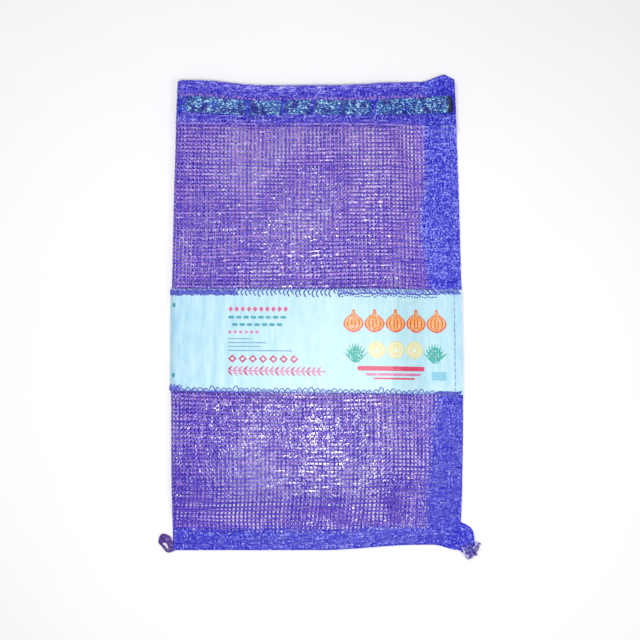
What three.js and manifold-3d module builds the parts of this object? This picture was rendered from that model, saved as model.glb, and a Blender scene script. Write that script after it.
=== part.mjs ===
// Net produce bag with a drawstring hem, lying flat and empty with its label side up.
// Millimetres, +Z up. +Y points to the mouth, the left edge (-X) is a fold and the right edge (+X) a seam.
// The net is modelled as plain cloth. Every layer is placed by its depth below the bag's outer face.

import * as THREE from "three";
import { mergeVertices } from "three/addons/utils/BufferGeometryUtils.js";
import Module from "manifold-3d";

const { degToRad, lerp, smoothstep } = THREE.MathUtils;
const wasm = await Module();
wasm.setup();

// Overall reach, with the tails at the bottom corners and the raised corner of the mouth
const overallWidth = 316;
const overallHeight = 488;

// The cloth body
const bagWidth = 293; // at the label, where the bag is widest
const midline = -1.8; // x of the bag's middle, as its right tail is the longer one
const mouthY = 232.2; // level of the mouth's edge
const footY = -236; // level of the foot's edge
const widestY = -67; // height of the widest point on the seam side
const foldCurve = 3.2; // how far the fold draws in at the mouth and the foot
const seamDrawTop = 5.4; // how far the seam draws in at the mouth
const seamDrawFoot = 4.8; // how far the seam draws in at the foot
const loft = 12; // height of the empty bag over its outer faces
const rippleHeight = 0.6; // slack of the upper face
const rippleAcross = 130;
const rippleAlong = 170;
const clothThickness = 0.8;

// Seams, where the layers lie flat on each other
const seamWidth = 33; // turned-in cloth along the right edge
const seamThickness = 2.4;
const seamTaper = 40; // from the seam line to the full loft
const footSeam = 17;
const footTaper = 45;

// Hem round the mouth, folded inwards over the drawstring
const hemDepth = 42;
const hemThickness = 2.6; // outer cloth, drawstring and inner cloth
const hemSeamThickness = 5.8; // both hems flat on each other in the side seam
const hemTaper = 14;
const mouthLiftFold = 5; // rise of the mouth's edge towards the fold
const foldLiftFrom = 60; // where that rise starts and is full, left of the middle
const foldLiftFull = 128;
const mouthLiftSeam = 7.2; // rise towards the seam
const seamLiftFrom = 15;
const seamLiftFull = 150;
const earInset = 11; // distance of the hem's pointed corner from the right edge
const earReach = 20; // its slope towards the fold
const earFall = 12; // its slope towards the seam
const earDepth = 18; // how far down from the mouth the cloth follows it
const liftReach = 60; // how far down from the mouth the cloth follows its edge
const footLift = 5.2; // rise of the foot's edge near the seam
const footLiftFrom = 5;
const footLiftFull = 105;
const footFallFrom = 118; // where it comes down again to the corner
const footFallEnd = 142;
const footReach = 40;

// Drawstring tape in the hem
const tapeWidth = 15;
const tapeThickness = 0.4;
const tapeDrop = 24; // tape's middle below the mouth's edge
const tapeDepth = 1.3; // tape's middle below the outer face
const clearance = 0.3;

// Label band, sewn round the outside along both its edges
const labelHigh = 23.5;
const labelLow = -80.5;
const labelTilt = 2; // its lower edge drops towards the seam and rises towards the fold
const labelThickness = 0.5;
const labelRecess = 1.2; // the cloth under the band stands this far off the ground
const recessStart = 3;
const recessEnd = 12;

// Tails where the seams end at the bottom corners
const tabSize = new THREE.Vector3(16, 16, 4);
const tabCorner = 3.5;
const tabTurn = degToRad(-22);
const tabY = -227.5;
const tailLength = 45;
const tailTurn = degToRad(-156); // it leaves the corner downwards and to the right
const tailFlare = 9; // radius where the seams are gathered
const tailWaist = 6;
const tailKnot = 8.5;
const tailFlatness = 0.5;

// Steps of the faceted surfaces
const taperSteps = 4;
const acrossSteps = 11;
const foldSteps = 4;
const labelSteps = 6;

function spread(from, to, steps) {
  return Array.from({ length: steps + 1 }, (_, i) => lerp(from, to, i / steps));
}

// Outline of the flat bag
function leftEdge(y) {
  const level = (2 * y - mouthY - footY) / (mouthY - footY);
  return midline - bagWidth / 2 + foldCurve * level * level;
}

function rightEdge(y) {
  const above = Math.max(0, (y - widestY) / (mouthY - widestY));
  const below = Math.max(0, (widestY - y) / (widestY - footY));
  return midline + bagWidth / 2 - seamDrawTop * above * above - seamDrawFoot * below * below;
}

function mouthLift(x) {
  const towardsFold = mouthLiftFold * smoothstep(-x, foldLiftFrom, foldLiftFull);
  return towardsFold + mouthLiftSeam * smoothstep(x, seamLiftFrom, seamLiftFull);
}

// Pointed corner of the hem at the seam
const earX = midline + bagWidth / 2 - earInset;
const earHeight = overallHeight / 2 - mouthY - mouthLift(earX);

function ear(x) {
  const fromPoint = x < earX ? (earX - x) / earReach : (x - earX) / earFall;
  return earHeight * Math.max(0, 1 - fromPoint);
}

function footRise(x) {
  const rise = smoothstep(x, footLiftFrom, footLiftFull);
  return footLift * rise * (1 - smoothstep(x, footFallFrom, footFallEnd));
}

// Height at x of the cloth row that would lie level at y
function rowHeight(y, x) {
  const nearMouth = smoothstep(y, mouthY - liftReach, mouthY);
  const nearEar = smoothstep(y, mouthY - earDepth, mouthY);
  const nearFoot = 1 - smoothstep(y, footY, footY + footReach);
  const nearLabelLow = smoothstep(y, footY, labelLow) * (1 - smoothstep(y, labelLow, labelHigh));
  const tilt = (labelTilt * (midline - x)) / (bagWidth / 2);
  return y + mouthLift(x) * nearMouth + ear(x) * nearEar + footRise(x) * nearFoot + tilt * nearLabelLow;
}

// Height of the bag between its outer faces: full in the middle, thin along the seam and the foot
function thicknessAt(x, y) {
  const fromSeam = rightEdge(y) - x - seamWidth;
  const fromFoot = y - rowHeight(footY, x) - footSeam;
  const rise = smoothstep(fromSeam, 0, seamTaper) * smoothstep(fromFoot, 0, footTaper);
  const hemLow = rowHeight(mouthY - hemDepth, x);
  const sewn = lerp(seamThickness, hemSeamThickness, smoothstep(y, hemLow - hemTaper, hemLow));
  const waves = Math.sin((2 * Math.PI * x) / rippleAcross + 1) * Math.sin((2 * Math.PI * y) / rippleAlong);
  return lerp(sewn, loft + rippleHeight * waves, rise);
}

// The label band runs on under the bag, in a shallow recess
function undersideAt(x, y) {
  const past = Math.max(rowHeight(labelLow, x) - y, y - rowHeight(labelHigh, x));
  return labelRecess * (1 - smoothstep(past, recessStart, recessEnd));
}

// Stations round the girth: from the right edge over the front, round the fold and back along the rear
const girthSpan = bagWidth - loft / 2;
const earPlaces = [earInset - earFall, earInset, earInset + earReach].filter((place) => place > 0);
const flatPlaces = [
  0,
  ...earPlaces,
  ...spread(seamWidth, seamWidth + seamTaper, taperSteps),
  ...spread(seamWidth + seamTaper, girthSpan, acrossSteps).slice(1),
];
const foldTurns = spread(0, 90, foldSteps)
  .slice(1)
  .map((turn) => turn - 45 / foldSteps)
  .reverse();
const halfGirth = [
  ...flatPlaces.map((place) => ({ across: place / girthSpan, turn: 90 })),
  ...foldTurns.map((turn) => ({ across: 1, turn })),
];

function bothSides(stations) {
  const front = stations.map((station) => ({ ...station, side: 1 }));
  const rear = stations.map((station) => ({ ...station, side: -1 })).reverse();
  return [...front, ...rear];
}

function wallPoint({ across, turn, side }, level, depth) {
  const y = rowHeight(level, midline + bagWidth / 2 - girthSpan * across);
  const foldRadius = thicknessAt(leftEdge(y) + loft / 2, y) / 2;
  const x = lerp(rightEdge(y), leftEdge(y) + foldRadius, across);
  const half = thicknessAt(x, y) / 2;
  const reach = half - depth;
  const angle = degToRad(turn);
  const z = undersideAt(x, y) + half + side * reach * Math.sin(angle);
  return new THREE.Vector3(x - reach * Math.cos(angle), y, z);
}

// Closed solid through rings of points. Point i of a ring faces point size - 1 - i, which closes the ends.
function closedLoft(rings) {
  const size = rings[0].length;
  const last = (rings.length - 1) * size;
  const index = [];
  for (let start = 0; start < last; start += size) {
    for (let i = 0; i < size; i += 1) {
      const a = start + i;
      const b = start + ((i + 1) % size);
      index.push(a, a + size, b, b, a + size, b + size);
    }
  }
  for (let i = 0; i + 1 < size / 2; i += 1) {
    const j = size - 1 - i;
    index.push(i, i + 1, j, j, i + 1, j - 1);
    index.push(last + i, last + j, last + i + 1, last + j, last + j - 1, last + i + 1);
  }
  const geometry = new THREE.BufferGeometry();
  const positions = rings.flat().flatMap((point) => point.toArray());
  geometry.setAttribute("position", new THREE.Float32BufferAttribute(positions, 3));
  geometry.setIndex(index);
  return geometry;
}

// A strip of cloth round the bag, between two depths and through the given levels
function wallStrip(stations, levels, outerDepth, innerDepth) {
  const rings = stations.map((station) => [
    ...levels.map((level) => wallPoint(station, level, innerDepth)),
    ...levels.map((level) => wallPoint(station, level, outerDepth)).reverse(),
  ]);
  return closedLoft(rings);
}

function toSolid(geometry) {
  const bare = geometry.clone();
  bare.deleteAttribute("normal");
  bare.deleteAttribute("uv");
  const merged = mergeVertices(bare, 1e-4);
  const vertProperties = Float32Array.from(merged.attributes.position.array);
  const triVerts = Uint32Array.from(merged.index.array);
  return new wasm.Manifold(new wasm.Mesh({ numProp: 3, vertProperties, triVerts }));
}

function toGeometry(solid) {
  const { vertProperties, triVerts } = solid.getMesh();
  const geometry = new THREE.BufferGeometry();
  geometry.setAttribute("position", new THREE.Float32BufferAttribute(vertProperties, 3));
  geometry.setIndex(Array.from(triVerts));
  geometry.computeVertexNormals();
  return geometry;
}

// Levels of the cloth rows, closer together where the thickness changes
const hemLevel = mouthY - hemDepth;
const tapeLevel = mouthY - tapeDrop;
const labelLevels = spread(labelLow, labelHigh, labelSteps);
const innerLevels = [
  ...spread(footY + footSeam, footY + footSeam + footTaper, taperSteps).slice(1),
  ...spread(footY + footSeam + footTaper, labelLow - recessEnd, 3).slice(1),
  labelLow - recessStart,
  ...labelLevels,
  labelHigh + recessStart,
  ...spread(labelHigh + recessEnd, hemLevel - hemTaper, 6),
];
const mouthLevels = spread(tapeLevel + tapeWidth / 2 + 1, mouthY, 2);
const footLevels = [footY, footY + footSeam / 2, footY + footSeam];
const hemLevels = [hemLevel, tapeLevel, ...mouthLevels];

function clothBody() {
  const girth = bothSides(halfGirth);
  const levels = [...footLevels, ...innerLevels, ...hemLevels];
  return closedLoft(levels.map((level) => girth.map((station) => wallPoint(station, level, 0))));
}

// Inside of the bag: it narrows at the hem and runs out past the mouth
function inside() {
  const girth = bothSides(halfGirth.slice(1 + earPlaces.length));
  const ringAt = (level, depth) => girth.map((station) => wallPoint(station, level, depth));
  const lining = [footY + footSeam + 1, ...innerLevels, hemLevel - 1];
  const hem = [...hemLevels, mouthY + earDepth];
  return closedLoft([
    ...lining.map((level) => ringAt(level, clothThickness)),
    ...hem.map((level) => ringAt(level, hemThickness)),
  ]);
}

const tapeLevels = [tapeLevel - tapeWidth / 2, tapeLevel + tapeWidth / 2];

// Slot for the drawstring, open at the right edge where both its ends lie
function tapeSlot() {
  const halfSlot = tapeThickness / 2 + clearance;
  const pastEdge = { across: -seamWidth / girthSpan, turn: 90 };
  const levels = [tapeLevels[0] - clearance, tapeLevels[1] + clearance];
  return wallStrip(bothSides([pastEdge, ...halfGirth]), levels, tapeDepth - halfSlot, tapeDepth + halfSlot);
}

function drawstring() {
  const halfTape = tapeThickness / 2;
  return wallStrip(bothSides(halfGirth), tapeLevels, tapeDepth - halfTape, tapeDepth + halfTape);
}

function labelBand() {
  return wallStrip(bothSides(halfGirth), labelLevels, -clearance - labelThickness, -clearance);
}

// Small folded tab at the left corner
function leftTail() {
  const shape = new THREE.Shape();
  const right = tabSize.x / 2 - tabCorner;
  const top = tabSize.y / 2 - tabCorner;
  shape.absarc(right, top, tabCorner, 0, Math.PI / 2);
  shape.absarc(-right, top, tabCorner, Math.PI / 2, Math.PI);
  shape.absarc(-right, -top, tabCorner, Math.PI, 1.5 * Math.PI);
  shape.absarc(right, -top, tabCorner, 1.5 * Math.PI, 2 * Math.PI);
  const tab = new THREE.ExtrudeGeometry(shape, { depth: tabSize.z, curveSegments: 4, bevelEnabled: false });
  tab.rotateZ(tabTurn);
  tab.computeBoundingBox();
  return tab.translate(-overallWidth / 2 - tab.boundingBox.min.x, tabY, 0);
}

// Gathered end of both seams at the right corner, tied in a knot
function rightTail() {
  const profile = new THREE.SplineCurve([
    new THREE.Vector2(0, 0),
    new THREE.Vector2(tailFlare, 0.4 * tailLength),
    new THREE.Vector2(tailWaist, 0.6 * tailLength),
    new THREE.Vector2(tailKnot, 0.8 * tailLength),
    new THREE.Vector2(0, tailLength),
  ]);
  const tail = new THREE.LatheGeometry(profile.getPoints(12), 14).scale(1, 1, tailFlatness).rotateZ(tailTurn);
  tail.computeBoundingBox();
  const { min, max } = tail.boundingBox;
  return tail.translate(overallWidth / 2 - max.x, -overallHeight / 2 - min.y, -min.z);
}

function netBag() {
  const sewn = toSolid(clothBody()).subtract(toSolid(inside())).subtract(toSolid(tapeSlot()));
  return toGeometry(sewn.add(toSolid(leftTail())).add(toSolid(rightTail())));
}

function piece(name, geometry, color, roughness) {
  const mesh = new THREE.Mesh(geometry, new THREE.MeshStandardMaterial({ color, roughness, metalness: 0 }));
  mesh.name = name;
  return mesh;
}

const bag = new THREE.Group();
bag.add(piece("net_bag", netBag(), 0x6a5fd0, 0.45));
bag.add(piece("label_band", labelBand(), 0xd6f1f8, 0.4));
bag.add(piece("drawstring", drawstring(), 0x0f5a52, 0.4));

export default bag;
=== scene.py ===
import bpy
import numpy as np
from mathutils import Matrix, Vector


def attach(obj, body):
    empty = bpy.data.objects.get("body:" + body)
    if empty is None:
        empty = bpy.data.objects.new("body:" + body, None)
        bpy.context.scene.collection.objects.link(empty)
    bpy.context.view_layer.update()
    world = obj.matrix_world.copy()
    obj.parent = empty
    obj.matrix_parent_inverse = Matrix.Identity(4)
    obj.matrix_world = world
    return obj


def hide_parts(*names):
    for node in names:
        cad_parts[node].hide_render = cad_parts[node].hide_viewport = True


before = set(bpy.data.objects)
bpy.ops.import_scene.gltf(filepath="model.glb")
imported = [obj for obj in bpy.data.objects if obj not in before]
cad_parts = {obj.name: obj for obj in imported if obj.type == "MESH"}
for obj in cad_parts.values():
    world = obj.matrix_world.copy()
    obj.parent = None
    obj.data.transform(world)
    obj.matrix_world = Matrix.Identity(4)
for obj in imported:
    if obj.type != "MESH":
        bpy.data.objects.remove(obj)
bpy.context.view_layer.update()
rng = np.random.default_rng(11)
mm = 0.001  # shapes are worked out in millimetres and made in metres
upward = np.array([0.0, 0.0, 1.0])

# Form of the empty bag, as the solids have it: a flat tube, folded at the left and sewn at the right
bag = {
    "width": 293,  # at the label
    "midline": -1.8,
    "mouth": 232.2,
    "foot": -236,
    "widest": -67,  # height of the widest point on the seam side
    "foldCurve": 3.2,
    "seamDrawTop": 5.4,
    "seamDrawFoot": 4.8,
    "loft": 12,
    "rippleHeight": 0.6,
    "rippleAcross": 130,
    "rippleAlong": 170,
    "ripplePhase": 1,
    "seamWidth": 33,
    "seamThickness": 2.4,
    "seamTaper": 40,
    "footSeam": 17,
    "footTaper": 45,
    "hemDepth": 42,
    "hemSeamThickness": 5.8,
    "hemTaper": 14,
    "mouthLiftFold": 5,
    "foldLiftSpan": (60, 128),  # where that rise starts and is full, left of the middle
    "mouthLiftSeam": 7.2,
    "seamLiftSpan": (15, 150),
    "top": 246,  # of the hem's pointed corner
    "earInset": 11,
    "earReach": 20,  # its slope towards the fold
    "earFall": 12,  # and towards the seam
    "earDepth": 18,
    "liftReach": 60,
    "footLift": 5.2,
    "footLiftSpan": (5, 105, 118, 142),  # where that rise starts, is full, falls and ends
    "footReach": 40,
    "tapeDrop": 24,  # drawstring's middle below the mouth's edge
    "labelHigh": 23.5,
    "labelLow": -80.5,
    "labelTilt": 2,
    "labelRecess": 1.2,
    "recessStart": 3,
    "recessEnd": 12,
}
bagRight = bag["midline"] + bag["width"] / 2
span = bag["width"] - bag["loft"] / 2  # girth of one face, from the seam to where the fold starts
foldArc = np.pi * bag["loft"] / 2
girthAll = 2 * span + foldArc
tapeLevel = bag["mouth"] - bag["tapeDrop"]


def ease(value, low, high):
    t = np.clip((value - low) / (high - low), 0, 1)
    return t * t * (3 - 2 * t)


def band(value, start, full, fade, end):
    return ease(value, start, full) * (1 - ease(value, fade, end))


def wave(value, length, phase=0):
    return np.sin(2 * np.pi * value / length + phase)


def unit(vectors):
    return vectors / (np.linalg.norm(vectors, axis=-1, keepdims=True) + 1e-12)


def leftEdge(y):
    level = (2 * y - bag["mouth"] - bag["foot"]) / (bag["mouth"] - bag["foot"])
    return bag["midline"] - bag["width"] / 2 + bag["foldCurve"] * level**2


def rightEdge(y):
    above = np.maximum(0, (y - bag["widest"]) / (bag["mouth"] - bag["widest"]))
    below = np.maximum(0, (bag["widest"] - y) / (bag["widest"] - bag["foot"]))
    return bagRight - bag["seamDrawTop"] * above**2 - bag["seamDrawFoot"] * below**2


def mouthLift(x):
    towardsFold = bag["mouthLiftFold"] * ease(-x, *bag["foldLiftSpan"])
    return towardsFold + bag["mouthLiftSeam"] * ease(x, *bag["seamLiftSpan"])


def rowHeight(y, x):
    # height at x of the cloth row that would lie level at y
    earX = bagRight - bag["earInset"]
    fromPoint = np.maximum((earX - x) / bag["earReach"], (x - earX) / bag["earFall"])
    ear = (bag["top"] - bag["mouth"] - mouthLift(earX)) * np.maximum(0, 1 - fromPoint)
    footRise = bag["footLift"] * band(x, *bag["footLiftSpan"])
    tilt = bag["labelTilt"] * (bag["midline"] - x) / (bag["width"] / 2)
    nearMouth = ease(y, bag["mouth"] - bag["liftReach"], bag["mouth"])
    nearEar = ease(y, bag["mouth"] - bag["earDepth"], bag["mouth"])
    nearFoot = 1 - ease(y, bag["foot"], bag["foot"] + bag["footReach"])
    nearLow = band(y, bag["foot"], bag["labelLow"], bag["labelLow"], bag["labelHigh"])
    return y + mouthLift(x) * nearMouth + ear * nearEar + footRise * nearFoot + tilt * nearLow


def thicknessAt(x, y):
    fromSeam = rightEdge(y) - x - bag["seamWidth"]
    fromFoot = y - rowHeight(bag["foot"], x) - bag["footSeam"]
    rise = ease(fromSeam, 0, bag["seamTaper"]) * ease(fromFoot, 0, bag["footTaper"])
    hemLow = rowHeight(bag["mouth"] - bag["hemDepth"], x)
    inHem = ease(y, hemLow - bag["hemTaper"], hemLow)
    sewn = bag["seamThickness"] + (bag["hemSeamThickness"] - bag["seamThickness"]) * inHem
    waves = wave(x, bag["rippleAcross"], bag["ripplePhase"]) * wave(y, bag["rippleAlong"])
    return sewn + (bag["loft"] + bag["rippleHeight"] * waves - sewn) * rise


def undersideAt(x, y):
    past = np.maximum(rowHeight(bag["labelLow"], x) - y, y - rowHeight(bag["labelHigh"], x))
    return bag["labelRecess"] * (1 - ease(past, bag["recessStart"], bag["recessEnd"]))


def wallPoint(girth, level, depth):
    # girth runs from the right edge over the front, round the fold and back along the rear
    across = np.minimum(np.minimum(girth, girthAll - girth) / span, 1)
    angle = np.pi * (0.5 - np.clip((girth - span) / foldArc, 0, 1))
    y = rowHeight(level, bagRight - span * across)
    foldRadius = thicknessAt(leftEdge(y) + bag["loft"] / 2, y) / 2
    x = rightEdge(y) + (leftEdge(y) + foldRadius - rightEdge(y)) * across
    half = thicknessAt(x, y) / 2
    reach = half - depth
    z = undersideAt(x, y) + half + reach * np.sin(angle)
    return np.stack([x - reach * np.cos(angle), y, z], -1) * mm


# Closed meshes from arrays of points
meshing = {
    "threadSides": 6,
    "tapeCorners": ((-1, -1), (1, -1), (1, 1), (-1, 1)),  # across a tape's width and through its thickness
    "sharpAngle": 50,  # degrees; sheets stay crisp at edges bent more than this
}


def facingOut(points, quads):
    a, b, c, d = (points[quads[:, i]] for i in range(4))
    volume = np.einsum("ij,ij->", a, np.cross(b, c)) + np.einsum("ij,ij->", a, np.cross(c, d))
    return points, quads if volume > 0 else quads[:, ::-1]


def closedSections(corners):
    # tapes with four corners and threads with six: corners holds thread, station, corner, xyz
    threads, stations, sides = corners.shape[:3]
    index = np.arange(threads * stations * sides).reshape(threads, stations, sides)
    here = index[:, :-1]
    there = index[:, 1:]
    walls = np.stack([here, there, np.roll(there, -1, 2), np.roll(here, -1, 2)], -1).reshape(-1, 4)
    caps = [[0, 1, 2, 3]] if sides == 4 else [[0, 1, 2, 3], [0, 3, 4, 5]]
    quads = [walls]
    for cap in caps:
        quads.append(index[:, 0, cap])
        quads.append(index[:, -1, cap[::-1]])
    return facingOut(corners.reshape(-1, 3), np.concatenate(quads))


def slab(across, along, place, low, high):
    # a sheet with thickness over a grid, between two lifts of the surface that place gives
    rows, columns = across.shape
    top = np.arange(rows * columns).reshape(rows, columns)
    faces = np.stack([top[:-1, :-1], top[1:, :-1], top[1:, 1:], top[:-1, 1:]], -1).reshape(-1, 4)
    ring = np.concatenate([top[:, 0], top[-1, 1:], top[-2::-1, -1], top[0, -2:0:-1]])
    following = np.roll(ring, -1)
    size = top.size
    rim = np.stack([following, ring, ring + size, following + size], -1)
    points = np.concatenate([place(across, along, lift).reshape(-1, 3) for lift in (high, low)])
    return facingOut(points, np.concatenate([faces, faces[:, ::-1] + size, rim]))


def tubes(paths, radius):
    # round threads along paths of thread, station, xyz
    run = unit(np.gradient(paths, axis=1))
    side = unit(np.cross(run, upward))
    up = np.cross(side, run)
    turns = np.linspace(0, 2 * np.pi, meshing["threadSides"], endpoint=False)
    ring = [paths + radius * (np.cos(t) * side + np.sin(t) * up) for t in turns]
    return closedSections(np.stack(ring, 2))


def joined(parts):
    # parts hold points, quads and any further array with a row for each point
    offsets = np.cumsum([0] + [len(part[0]) for part in parts[:-1]])
    points, *further = (np.concatenate(arrays) for arrays in list(zip(*parts))[::2])
    quads = np.concatenate([part[1] + offset for part, offset in zip(parts, offsets)])
    return points, quads, *further


def makePiece(name, parts, material, smooth=False):
    points, quads, *strand = joined(parts)
    mesh = bpy.data.meshes.new(name)
    mesh.vertices.add(len(points))
    mesh.vertices.foreach_set("co", points.astype(np.float32).ravel())
    mesh.loops.add(quads.size)
    mesh.loops.foreach_set("vertex_index", quads.astype(np.int32).ravel())
    mesh.polygons.add(len(quads))
    mesh.polygons.foreach_set("loop_start", np.arange(0, quads.size, 4, dtype=np.int32))
    if strand:
        layer = mesh.attributes.new("strand", "FLOAT_VECTOR", "POINT")
        layer.data.foreach_set("vector", strand[0][:, :3].astype(np.float32).ravel())
        layer = mesh.attributes.new("doubled", "FLOAT", "POINT")
        layer.data.foreach_set("value", strand[0][:, 3].astype(np.float32))
    mesh.update(calc_edges=True)
    mesh.validate()
    if smooth:
        mesh.shade_smooth()
        mesh.set_sharp_from_angle(angle=np.radians(meshing["sharpAngle"]))
    else:
        mesh.shade_flat()
    mesh.materials.append(material)
    piece = bpy.data.objects.new(name, mesh)
    bpy.context.scene.collection.objects.link(piece)
    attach(piece, "root")
    print(name, 2 * len(quads), "triangles")
    return piece


# Materials
def linear(code):
    value = np.array([int(code[i : i + 2], 16) for i in (1, 3, 5)]) / 255
    value = np.where(value <= 0.04045, value / 12.92, ((value + 0.055) / 1.055) ** 2.4)
    return (*value.tolist(), 1.0)


def addNode(tree, kind, settings=None, links=None):
    # a link comes from a socket or from a node's first output; a ramp's stops begin with its two ends
    node = tree.nodes.new("ShaderNode" + kind)
    for key, value in (settings or {}).items():
        if key == "stops":
            for i, (position, colour) in enumerate(value):
                stops = node.color_ramp.elements
                stop = stops[i] if i < 2 else stops.new(position)
                stop.position = position
                stop.color = linear(colour)
        elif isinstance(key, int) or key in node.inputs:
            node.inputs[key].default_value = value
        else:
            setattr(node, key, value)
    for key, source in (links or {}).items():
        tree.links.new(getattr(source, "outputs", [source])[0], node.inputs[key])
    return node


def newMaterial(name, settings):
    material = bpy.data.materials.new(name)
    material.use_nodes = True
    tree = material.node_tree
    shader = tree.nodes["Principled BSDF"]
    for key, value in settings.items():
        shader.inputs[key].default_value = value
    return material, tree, shader


def bandScale(spacing):
    return 2 * np.pi / (20 * spacing * mm)  # a wave texture of scale 1 repeats every 2 pi / 20


# Polypropylene tape, slit from film, drawn and woven: a satin gloss in fine lines along its length,
# painted light that makes it violet where the light comes through, and painted shade that makes it bluer
# where the cloth is doubled
def drawnTape(name, single, double, roughness):
    material, tree, shader = newMaterial(name, {"IOR": 1.49, "Roughness": roughness})
    strand = addNode(tree, "Attribute", {"attribute_name": "strand"}).outputs["Vector"]
    doubled = addNode(tree, "Attribute", {"attribute_name": "doubled"}).outputs["Fac"]
    place = addNode(tree, "TexCoord").outputs["Object"]
    toneWithPaintedLight = addNode(tree, "SeparateXYZ", {}, {"Vector": strand})
    lines = addNode(
        tree, "Mapping", {"Scale": (31, 0.12, 2.2)}, {"Vector": strand}
    )  # draw lines some 0.2 mm apart and 8 mm long
    streak = addNode(tree, "TexNoise", {"Scale": 1.0, "Detail": 3.0}, {"Vector": lines})
    spread = addNode(tree, "Math", {"operation": "MULTIPLY_ADD", 1: 0.7, 2: -0.35}, {0: streak})
    tone = addNode(tree, "Math", {}, {0: toneWithPaintedLight, 1: spread})
    paintedGlintNoise = addNode(
        tree, "TexNoise", {"Scale": 1 / (1.8 * mm), "Detail": 2.0}, {"Vector": place}
    )  # painted glints and crease shade, in flecks some 1.8 mm apart, where the cloth is doubled and sewn
    paintedGlintAndCreaseShade = addNode(tree, "Math", {"operation": "MULTIPLY_ADD", 1: 3.2, 2: -1.6}, {0: paintedGlintNoise})
    tone = addNode(tree, "Math", {"operation": "MULTIPLY_ADD"}, {0: paintedGlintAndCreaseShade, 1: doubled, 2: tone})
    # painted light and shade: one tape, violet as single cloth and deeper blue as doubled cloth
    litAndShadedDyes = [
        addNode(tree, "ValToRGB", {"stops": ((0, deep), (1, pale), (0.5, middle))}, {"Fac": tone})
        for deep, middle, pale in (single, double)
    ]
    dyeAndPaintedLight = addNode(tree, "Mix", {"data_type": "RGBA"}, {0: doubled, 6: litAndShadedDyes[0], 7: litAndShadedDyes[1]})
    tree.links.new(dyeAndPaintedLight.outputs[2], shader.inputs["Base Color"])
    rubbed = addNode(
        tree, "Math", {"operation": "MULTIPLY_ADD", 1: 0.14, 2: roughness - 0.12}, {0: doubled}
    )  # sewn cloth has lost some of its gloss
    gloss = addNode(tree, "Math", {"operation": "MULTIPLY_ADD", 1: 0.24}, {0: streak, 2: rubbed})
    tree.links.new(gloss.outputs[0], shader.inputs["Roughness"])
    bump = addNode(tree, "Bump", {"Strength": 0.35, "Distance": 0.05 * mm}, {"Height": streak})
    tree.links.new(bump.outputs[0], shader.inputs["Normal"])
    return material


tapeDyesWithPaintedLight = {
    # deep, middle and pale dye of single cloth and of doubled cloth, and roughness; the violet of single
    # cloth is painted light, the deeper blue of doubled cloth painted shade, and the pale end of the doubled
    # cloth's dye gives painted glints
    "violetPolypropyleneTape": (("#2E16B0", "#6648CA", "#B28ADC"), ("#1812B6", "#3230D0", "#8C98F8"), 0.2),
    # painted shade: the corner loop's bunched tapes get a deeper copy of the net's violet
    "bunchedTapeWithPaintedShade": (("#26124E", "#4A2882", "#6A48AE"), ("#24104E", "#4C2688", "#7A54B8"), 0.3),
    # painted highlights: the tuft's tapes run to near white for the light on their loose ends
    "tuftTapeWithPaintedHighlights": (("#4A40B0", "#8078C8", "#C8C8DC"), ("#2C1C8C", "#6658BC", "#CCD2D8"), 0.3),
}
netTape, shadedLoopTape, tuftTape = (drawnTape(name, *litAndShadedDyes) for name, litAndShadedDyes in tapeDyesWithPaintedLight.items())


def tapeCheck(tree, place, operation):
    # check of flat tapes 2.6 mm wide
    bands = {}
    for i, direction in enumerate("XY"):
        settings = {"bands_direction": direction, "Scale": bandScale(2.6), "Distortion": 0.6}
        bands[i] = addNode(tree, "TexWave", settings, {"Vector": place}).outputs["Fac"]
    return addNode(tree, "Math", {"operation": operation}, bands)


# White polypropylene cloth woven from flat tape, for print: soft sheen, a faint check of tapes and soft
# ripples of slack with painted sheen on them, and a painted pool of light that leaves it paler in the middle
# and bluer at its ends
labelCloth, tree, shader = newMaterial("printedWovenPolypropylene", {"IOR": 1.49, "Roughness": 0.38})
place = addNode(tree, "TexCoord").outputs["Object"]
weave = tapeCheck(tree, place, "MULTIPLY")
slackSize = (4, 20, 20)  # painted sheen of ripples 4 mm across and 20 mm long
slack = addNode(tree, "Mapping", {"Scale": [1 / (size * mm) for size in slackSize]}, {"Vector": place})
paintedRippleSheen = addNode(tree, "TexNoise", {"Scale": 1.0, "Detail": 3.0}, {"Vector": slack})
paintedRippleSheen = addNode(tree, "MapRange", {"From Min": 0.32, "From Max": 0.68}, {"Value": paintedRippleSheen})
# painted highlights: the weave's tapes and the ripples lighten the cloth's colour in flecks
faint = addNode(tree, "Math", {"operation": "MULTIPLY_ADD", 1: 0.55, 2: 0.45}, {0: weave})
paintedSheenFlecks = addNode(tree, "Math", {"operation": "MULTIPLY"}, {0: faint, 1: paintedRippleSheen})
acrossBag = addNode(tree, "SeparateXYZ", {}, {"Vector": place})
share = addNode(tree, "MapRange", {"From Min": -150 * mm, "From Max": 146 * mm}, {"Value": acrossBag})
# painted light: a pool of light, paler in the middle and bluer towards the ends
stops = ((0, "#98C8E2"), (1, "#9CCCE4"), (0.1, "#A0D0E2"), (0.55, "#B0D8DC"), (0.94, "#A6D4E2"))
paintedLightTint = addNode(tree, "ValToRGB", {"stops": stops}, {"Fac": share})
shade = addNode(tree, "Mix", {"data_type": "RGBA", 7: linear("#CAE5ED")}, {0: paintedSheenFlecks, 6: paintedLightTint})
tree.links.new(shade.outputs[2], shader.inputs["Base Color"])
bump = addNode(tree, "Bump", {"Strength": 0.5, "Distance": 0.12 * mm}, {"Height": weave})
tree.links.new(bump.outputs[0], shader.inputs["Normal"])


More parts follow.
